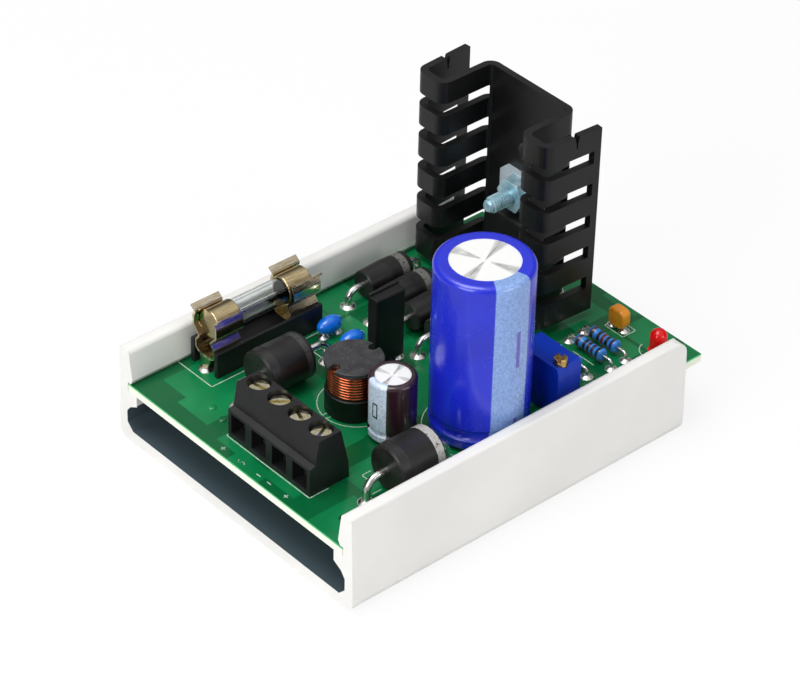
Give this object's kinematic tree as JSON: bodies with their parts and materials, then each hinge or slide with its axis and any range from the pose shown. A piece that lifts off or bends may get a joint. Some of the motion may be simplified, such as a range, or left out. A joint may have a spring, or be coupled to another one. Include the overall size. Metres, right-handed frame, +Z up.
{
  "type": "adjustable power supply module",
  "caption": "Adjustable power supply board in a pale plastic snap track, with wire terminals, glass fuse, diodes, capacitors, trimmer and a folded black heatsink.",
  "frame": {"origin": "middle of the board's length and width, at the underside of the track", "axes": "+X along the board away from the wire terminals, +Y to the fuse side, +Z up"},
  "size_m": [0.0782, 0.059, 0.0496],
  "materials": {
    "track_plastic": "satin",
    "board_laminate": "gloss solder resist",
    "tin_solder": "bright",
    "black_moulding": "satin",
    "screw_plate": "yellow passivated",
    "clamp_plate": "plated",
    "contact_brass": "plain",
    "clip_nickel": "bright nickel",
    "fuse_glass": "clear",
    "ferrite": "matt ground",
    "copper_wire": "enamelled",
    "can_aluminium": "satin",
    "blue_sleeve": "gloss film",
    "maroon_sleeve": "gloss film",
    "black_rubber": "matt",
    "blue_epoxy": "gloss",
    "orange_epoxy": "gloss",
    "trimmer_blue": "satin",
    "trimmer_brass": "bright",
    "resistor_blue": "satin lacquer",
    "red_lens": "gloss, tinted through",
    "black_anodised": "black anodised",
    "zinc_plate": "blue passivated"
  },
  "bodies": {
    "power_supply": {"track": "track_plastic", "circuit_board": "board_laminate", "solder_joints": "tin_solder", "terminal_housing": "black_moulding", "terminal_contacts": "contact_brass", "fuse_base": "black_moulding", "fuse_clip_1": "clip_nickel", "fuse_clip_2": "clip_nickel", "fuse_tube": "fuse_glass", "fuse_caps": "clip_nickel", "fuse_wire": "tin_solder", "surge_diode_front": "black_moulding", "surge_diode_rear": "black_moulding", "surge_diode_leads": "tin_solder", "rectifier_diode_1": "black_moulding", "rectifier_diode_2": "black_moulding", "rectifier_diode_3": "black_moulding", "rectifier_diode_4": "black_moulding", "rectifier_leads": "tin_solder", "upright_device_body": "black_moulding", "upright_device_leads": "tin_solder", "inductor_core": "ferrite", "inductor_winding": "copper_wire", "inductor_leads": "tin_solder", "main_capacitor_can": "can_aluminium", "main_capacitor_sleeve": "blue_sleeve", "main_capacitor_bung": "black_rubber", "main_capacitor_leads": "tin_solder", "small_capacitor_can": "can_aluminium", "small_capacitor_sleeve": "maroon_sleeve", "small_capacitor_bung": "black_rubber", "small_capacitor_leads": "tin_solder", "blue_capacitor_1": "blue_epoxy", "blue_capacitor_2": "blue_epoxy", "orange_capacitor": "orange_epoxy", "ceramic_capacitor_leads": "tin_solder", "trimmer_body": "trimmer_blue", "trimmer_pins": "tin_solder", "resistor_1": "resistor_blue", "resistor_2": "resistor_blue", "resistor_3": "resistor_blue", "resistor_4": "resistor_blue", "resistor_leads": "tin_solder", "led_lens": "red_lens", "led_leads": "tin_solder", "heatsink": "black_anodised", "regulator_body": "black_moulding", "regulator_frame": "tin_solder", "regulator_screw": "zinc_plate", "regulator_nut": "zinc_plate"},
    "trimmer_adjuster": {"trimmer_screw": "trimmer_brass"},
    "terminal_screw_1": {"terminal_screw_1": "screw_plate"},
    "terminal_clamp_1": {"terminal_clamp_1": "clamp_plate"},
    "terminal_screw_2": {"terminal_screw_2": "screw_plate"},
    "terminal_clamp_2": {"terminal_clamp_2": "clamp_plate"},
    "terminal_screw_3": {"terminal_screw_3": "screw_plate"},
    "terminal_clamp_3": {"terminal_clamp_3": "clamp_plate"},
    "terminal_screw_4": {"terminal_screw_4": "screw_plate"},
    "terminal_clamp_4": {"terminal_clamp_4": "clamp_plate"}
  },
  "joints": [
    {"name": "trimmer_turn", "type": "hinge", "parent": "power_supply", "child": "trimmer_adjuster", "pos_m": [0.01005, -0.023, 0.0227], "axis": [0, 0, 1], "continuous": true},
    {"name": "screw_turn_1", "type": "hinge", "parent": "power_supply", "child": "terminal_screw_1", "pos_m": [-0.03058, -0.01173, 0.0208], "axis": [0, 0, 1], "range_deg": [-1296, 0]},
    {"name": "clamp_rise_1", "type": "slide", "parent": "power_supply", "child": "terminal_clamp_1", "axis": [0, 0, 1], "range_m": [0, 0.0018]},
    {"name": "screw_turn_2", "type": "hinge", "parent": "power_supply", "child": "terminal_screw_2", "pos_m": [-0.03058, -0.00665, 0.0208], "axis": [0, 0, 1], "range_deg": [-1296, 0]},
    {"name": "clamp_rise_2", "type": "slide", "parent": "power_supply", "child": "terminal_clamp_2", "axis": [0, 0, 1], "range_m": [0, 0.0018]},
    {"name": "screw_turn_3", "type": "hinge", "parent": "power_supply", "child": "terminal_screw_3", "pos_m": [-0.03058, -0.00157, 0.0208], "axis": [0, 0, 1], "range_deg": [-1296, 0]},
    {"name": "clamp_rise_3", "type": "slide", "parent": "power_supply", "child": "terminal_clamp_3", "axis": [0, 0, 1], "range_m": [0, 0.0018]},
    {"name": "screw_turn_4", "type": "hinge", "parent": "power_supply", "child": "terminal_screw_4", "pos_m": [-0.03058, 0.00351, 0.0208], "axis": [0, 0, 1], "range_deg": [-1296, 0]},
    {"name": "clamp_rise_4", "type": "slide", "parent": "power_supply", "child": "terminal_clamp_4", "axis": [0, 0, 1], "range_m": [0, 0.0018]}
  ],
  "couplings": [
    {"joint": "screw_turn_1", "follows": "clamp_rise_1", "rad_per_m": -12566},
    {"joint": "screw_turn_2", "follows": "clamp_rise_2", "rad_per_m": -12566},
    {"joint": "screw_turn_3", "follows": "clamp_rise_3", "rad_per_m": -12566},
    {"joint": "screw_turn_4", "follows": "clamp_rise_4", "rad_per_m": -12566}
  ]
}
